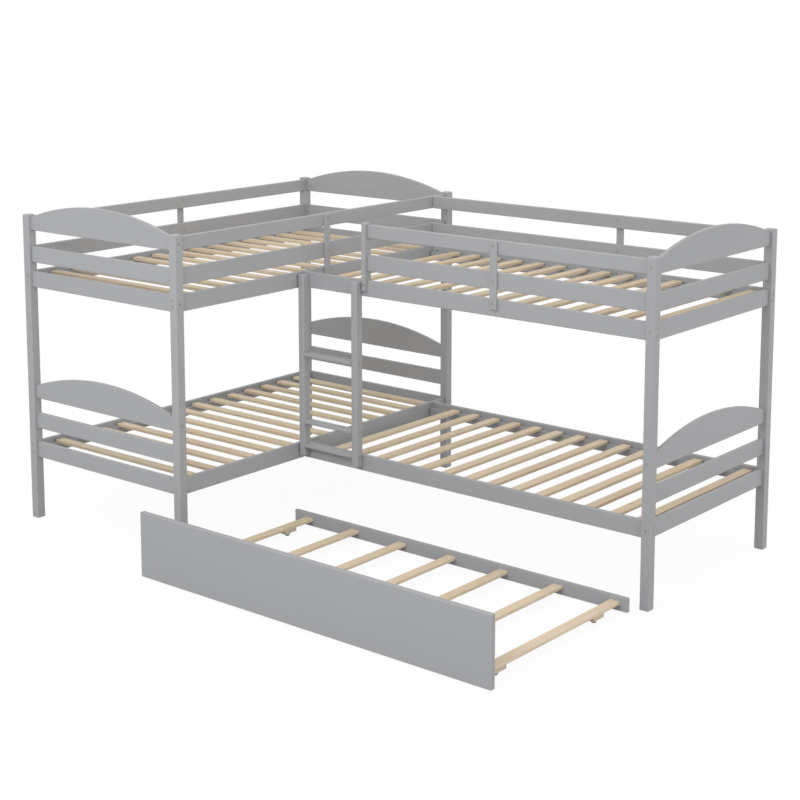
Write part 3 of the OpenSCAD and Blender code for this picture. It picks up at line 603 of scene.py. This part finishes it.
def lobed_recess(p, form, top, radius, lobes, recess, ripple):
    """Sinks a recess of so many lobes into the top of a head."""
    x, y, z = p.split(p.add("GeometryNodeInputPosition"))
    angle = p.maths("ARCTAN2", y, x)
    width = radius * (recess + ripple * p.maths("COSINE", angle * lobes))
    form = p.add("GeometryNodeSetPosition",
                 {"Geometry": form, "Selection": top,
                  "Position": p.joined(p.maths("COSINE", angle) * width,
                                       p.maths("SINE", angle) * width, z)})
    form, top = drawn_up(p, form, top, p["Depth"] * -STRAIGHT_RECESS, 1.0)
    form, top = drawn_up(p, form, top, p["Depth"] * (STRAIGHT_RECESS - 1), RECESS_FLOOR)
    return form


def turned_head(p, outline, sides, lobes, recess, ripple):
    """A fastener's head, facing up from the origin.

    The outline gives its height and radius in shares, from its underside to the rim of the
    recess. The recess and its ripple are shares of the head's radius."""
    radius = p["Head"] / 2
    disc = p.add("GeometryNodeMeshCircle", {"Vertices": sides, "Radius": radius * outline[0][1]},
                 fill_type="NGON")
    form, top = disc, True
    for (low, before), (high, after) in zip(outline, outline[1:]):
        form, top = drawn_up(p, form, top, p["Height"] * (high - low), after / before)
    form = lobed_recess(p, form, top, radius, lobes, recess, ripple)
    under = p.add("GeometryNodeFlipFaces", {"Mesh": disc})
    whole = p.add("GeometryNodeJoinGeometry", {"Geometry": [form, under]})
    merged = p.add("GeometryNodeMergeByDistance", {"Geometry": whole, "Distance": MERGE})
    bend = p.add("GeometryNodeInputMeshEdgeAngle", output="Unsigned Angle")
    return p.add("GeometryNodeSetShadeSmooth",
                 {"Geometry": merged, "Selection": p.maths("GREATER_THAN", bend, SHARP),
                  "Shade Smooth": False}, domain="EDGE")


def head_pattern(name, material, outline, sides, lobes, recess, ripple):
    """Fasteners on points, each with its head, spun at random, and a shank behind it.

    A point's "facing" is the way that its head faces, and its "reach" is the length of the
    shank."""
    p = Pattern(name, Head=float, Height=float, Shank=float, Depth=float, Reseed=int)
    head = turned_head(p, outline, sides, lobes, recess, ripple)
    facing = p.add("GeometryNodeInputNamedAttribute", {"Name": "facing"},
                   data_type="FLOAT_VECTOR")
    reach = p.add("GeometryNodeInputNamedAttribute", {"Name": "reach"}, data_type="FLOAT")
    turns = p.add("FunctionNodeRandomValue", {2: 0.0, 3: math.tau, "Seed": p["Reseed"]},
                  output=1, data_type="FLOAT")
    spun = p.add("FunctionNodeEulerToRotation", {"Euler": p.joined(0.0, 0.0, turns)})
    turn = p.add("FunctionNodeAlignRotationToVector", {"Rotation": spun, "Vector": facing},
                 axis="Z")
    # A shank one metre long, which each fastener scales to its own reach
    shank = p.add("GeometryNodeMeshCylinder",
                  {"Vertices": SHANK_SIDES, "Radius": p["Shank"] / 2, "Depth": 1.0},
                  fill_type="NGON")
    hung = p.add("GeometryNodeTransform", {"Geometry": shank, "Translation": (0.0, 0.0, -0.5)})
    heads = p.add("GeometryNodeInstanceOnPoints",
                  {"Points": p["Geometry"], "Instance": head, "Rotation": turn})
    shanks = p.add("GeometryNodeInstanceOnPoints",
                   {"Points": p["Geometry"], "Instance": hung, "Rotation": turn,
                    "Scale": p.joined(1.0, 1.0, reach)})
    p.close(p.add("GeometryNodeJoinGeometry", {"Geometry": [heads, shanks]}), material)
    return p


# Points of a fastener this far out, as a share of its radius, belong to its head
HEAD_SHARE = 0.97


def fastener_points(node, head_height):
    """A mesh with a point under each fastener's head, with its facing and its reach."""
    places, facings, reaches = [], [], []
    for spots in solids_in(node):
        low, high = spots.min(0), spots.max(0)
        size = high - low
        axis = int(np.argmax(abs(size - np.median(size))))
        middle = (low + high) / 2
        spread = np.linalg.norm(np.delete(spots - middle, axis, 1), axis=1)
        in_head = spread > HEAD_SHARE * spread.max()
        head_side = np.sign(spots[in_head, axis].mean() - middle[axis])
        facing = np.eye(3)[axis] * head_side
        places.append(middle + facing * (size[axis] / 2 - head_height))
        facings.append(facing)
        reaches.append(size[axis] - head_height)
    mesh = bpy.data.meshes.new("points")
    mesh.from_pydata(places, [], [])
    stored = mesh.attributes.new("facing", "FLOAT_VECTOR", "POINT")
    stored.data.foreach_set("vector", np.ravel(facings))
    stored = mesh.attributes.new("reach", "FLOAT", "POINT")
    stored.data.foreach_set("value", reaches)
    return mesh


def fasteners(pattern, node, head, height, shank, depth, seed):
    mesh = pattern.grown(fastener_points(node, height), Head=head, Height=height, Shank=shank,
                         Depth=depth, Reseed=seed)
    return finish_piece(node + "_turned", mesh, [node], seed)


# ---------------------------------------------------------------- wheels

# Half of a caster wheel's section: distance from its middle plane, and radius, in
# millimetres, from the bore over the hub and the web to the tread
WHEEL_OUTLINE = [(7.0, 2.8), (7.0, 5.0), (6.6, 5.5), (5.3, 5.7), (5.0, 6.2), (5.0, 10.6),
                 (5.4, 11.2), (6.3, 11.5), (6.8, 12.1), (6.9, 13.6), (6.4, 15.0), (5.3, 15.7),
                 (3.6, 15.95), (0.0, 16.0)]
WHEEL_SIDES = 64


def caster_wheel(node, seed):
    """A moulded wheel with a raised hub, a dished web and a round-shouldered tread."""
    low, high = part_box(node)
    middle = (low + high) / 2
    half = [(x * MM, r * MM) for x, r in WHEEL_OUTLINE]
    loop = half + [(-x, r) for x, r in reversed(half[:-1])]
    form = bmesh.new()
    ring = [form.verts.new(middle + Vector((x, 0.0, r))) for x, r in loop]
    edges = [form.edges.new((ring[i - 1], ring[i])) for i in range(len(ring))]
    bmesh.ops.spin(form, geom=ring + edges, cent=middle, axis=(1, 0, 0), angle=math.tau,
                   steps=WHEEL_SIDES, use_merge=True)
    bmesh.ops.recalc_face_normals(form, faces=form.faces)
    for face in form.faces:
        face.smooth = True
    for edge in form.edges:
        edge.smooth = not is_sharp(edge)
    mesh = bpy.data.meshes.new(node + "_moulded")
    form.to_mesh(mesh)
    form.free()
    return finish_piece(node + "_moulded", mesh, [node], seed)


# ---------------------------------------------------------------- the bed's pieces

# How far painted edges are rounded, by the first of these words in the node's name
EASING = {
    "post": 3.5 * MM,
    "stile": 2.5 * MM,
    "upright": 2.0 * MM,
    "panel": 3.0 * MM,
    "ledgers": 2.0 * MM,
    "treads": 1.5 * MM,
    # All other boards
    "": 4.0 * MM,
}
FITTING_EASING = 0.3 * MM
# The first random seed of each group of pieces
SEEDS = {"timber": 0, "bunk slats": 100, "trundle slats": 120, "bolts": 200, "screws": 210,
         "fittings": 300, "wheels": 400}


def nodes_in(slot):
    """The nodes of one material slot, in the record's order."""
    return [node for node, own in SLOTS.items() if own == slot]


def painted_timber():
    for seed, node in enumerate(nodes_in("grey_paint"), SEEDS["timber"]):
        eased_piece(node, next(radius for word, radius in EASING.items() if word in node), seed)


def slats():
    """The slats of the bunks and the trundle. The caster blocks stay as the CAD has them."""
    bunk = slat_pattern("bunk_slats", BUNK_PINE)
    for seed, node in enumerate(nodes_in("bunk_pine"), SEEDS["bunk slats"]):
        slat_row(bunk, node, seed)
    eased_piece("trundle_slats", SLAT_EASING, SEEDS["trundle slats"], SLAT_EASING_STEPS)


def bolts_and_screws():
    flat_head = [(0.0, 0.95), (0.1, 1.0), (0.78, 1.0), (0.94, 0.96), (1.0, 0.9), (1.0, 0.56)]
    sunk_head = [(0.0, 0.5), (0.85, 0.97), (1.0, 1.0), (1.0, 0.7)]
    bolt = head_pattern("brassed_bolts", BRASS, flat_head, sides=24, lobes=6.0, recess=0.35,
                        ripple=0.022)
    screw = head_pattern("zinc_screws", ZINC, sunk_head, sides=16, lobes=4.0, recess=0.36,
                         ripple=0.2)
    bolted = ["frame_bolts", "ladder_bolts", "guard_connector_bolts"]
    for seed, node in enumerate(bolted, SEEDS["bolts"]):
        fasteners(bolt, node, head=14 * MM, height=2.5 * MM, shank=6 * MM, depth=1.7 * MM,
                  seed=seed)
    screwed = ["slat_screws", "ledger_screws", "caster_screws"]
    for seed, node in enumerate(screwed, SEEDS["screws"]):
        fasteners(screw, node, head=8 * MM, height=2 * MM, shank=4 * MM, depth=1.2 * MM,
                  seed=seed)


def hidden_fittings():
    """Dowels, nuts, brackets and axles, with their small arrises broken."""
    fittings = ["board_dowels", "trundle_dowels", "barrel_nuts", "caster_brackets",
                "caster_axles"]
    for seed, node in enumerate(fittings, SEEDS["fittings"]):
        eased_piece(node, FITTING_EASING, seed, steps=1)


def wheels():
    for seed, node in enumerate(nodes_in("black_plastic"), SEEDS["wheels"]):
        caster_wheel(node, seed)


# ---------------------------------------------------------------- floor, light and camera

FLOOR_HALF = 30.0
# The floor's look changes from the first to the second between these distances
NEAR, FAR = 2.4, 5.0
WHITE = (1.0, 1.0, 1.0, 1.0)


def grey(level):
    return (level, level, level, 1.0)


class Backdrop(Graph):
    """Nodes of a floor or world, which look white to the camera and in reflections."""

    def seen(self):
        """1 for the rays that show the backdrop itself, 0 for those that only light the bed."""
        rays = [self.add("ShaderNodeLightPath", output=name)
                for name in ("Is Camera Ray", "Is Glossy Ray", "Is Transmission Ray")]
        return (rays[0] + rays[1] + rays[2]).limited()


def white_floor():
    """A white floor with a faint shadow and painted shade under the bed, fading to white around
    it.
    """
    material = bpy.data.materials.new("white_floor")
    material.use_nodes = True
    b = Backdrop(material.node_tree)
    b.tree.nodes.clear()
    where = b.add("ShaderNodeTexCoord", output="Object")
    distance = b.add("ShaderNodeVectorMath", {0: where}, output="Value", operation="LENGTH")
    away = b.ramp(distance, NEAR, FAR)
    # Painted shade: the paper is painted darker near the bed, so it bounces less light onto the
    # bed's lower parts
    shade_painted_paper = b.add("ShaderNodeBsdfDiffuse", {"Color": b.mix(away, grey(0.36), grey(0.7))})
    # The floor glows brighter near the bed, so that the darker paper still looks plain white to
    # the camera
    glow = b.add("ShaderNodeEmission", {"Color": b.mix(away, grey(1.16), WHITE), "Strength": 1.0})
    # Close to the bed a fifth of what the camera sees is paper, which shows the shadow and the
    # painted shade
    share = (0.8 + 0.2 * away) * b.seen()
    mixed = b.add("ShaderNodeMixShader", {0: share, 1: shade_painted_paper, 2: glow})
    b.add("ShaderNodeOutputMaterial", {"Surface": mixed}, output=None)
    form = bmesh.new()
    bmesh.ops.create_grid(form, x_segments=8, y_segments=8, size=FLOOR_HALF)
    mesh = bpy.data.meshes.new("floor")
    form.to_mesh(mesh)
    form.free()
    mesh.materials.append(material)
    placed("floor", mesh)


def white_world(level):
    """White all around, which lights the bed at the given level."""
    world = bpy.data.worlds.new("studio")
    bpy.context.scene.world = world
    world.use_nodes = True
    b = Backdrop(world.node_tree)
    b.tree.nodes.clear()
    strength = level + (1.0 - level) * b.seen()
    sky = b.add("ShaderNodeBackground", {"Color": WHITE, "Strength": strength})
    b.add("ShaderNodeOutputWorld", {"Surface": sky}, output=None)


def soft_light(name, place, target, size, power, colour):
    """A square panel of light, turned towards a point."""
    light = bpy.data.lights.new(name, "AREA")
    light.size = size
    light.energy = power
    light.color = colour
    lamp = placed(name, light)
    lamp.location = place
    lamp.rotation_euler = (Vector(target) - Vector(place)).to_track_quat("-Z", "Y").to_euler()


def broad_light(name, side, spread, strength):
    """Even light from one side, as from a wide window. Spread is in degrees."""
    light = bpy.data.lights.new(name, "SUN")
    light.angle = math.radians(spread)
    light.energy = strength
    lamp = placed(name, light)
    lamp.location = side
    lamp.rotation_euler = Vector(side).to_track_quat("Z", "Y").to_euler()


def photo_camera(place, tilt, heading, lens, shift):
    """The photo's camera: above the bed, and looking down on it past its right front corner.

    The tilt is in degrees below level, the heading in degrees from the way to the back
    towards the left, and the lens in millimetres of a full frame."""
    camera = placed("camera", bpy.data.cameras.new("camera"))
    camera.location = place
    camera.rotation_euler = (math.radians(90 - tilt), 0.0, math.radians(heading))
    camera.data.sensor_width = 36.0
    camera.data.lens = lens
    camera.data.shift_y = shift
    camera.data.clip_end = 100.0
    bpy.context.scene.camera = camera


# ---------------------------------------------------------------- the scene

painted_timber()
slats()
bolts_and_screws()
hidden_fittings()
wheels()

white_floor()
white_world(level=0.86)
soft_light("key", place=(0.9, -6.6, 4.6), target=(0.2, 0.0, 0.8), size=3.5, power=157.5,
           colour=(1.0, 1.005, 1.035))
broad_light("fill", side=(10.0, -1.6, 2.2), spread=30, strength=0.45)
photo_camera(place=(5.031, -5.958, 2.641), tilt=8.854, heading=39.498, lens=76.40, shift=-0.2)
bpy.context.scene.view_settings.view_transform = "Standard"
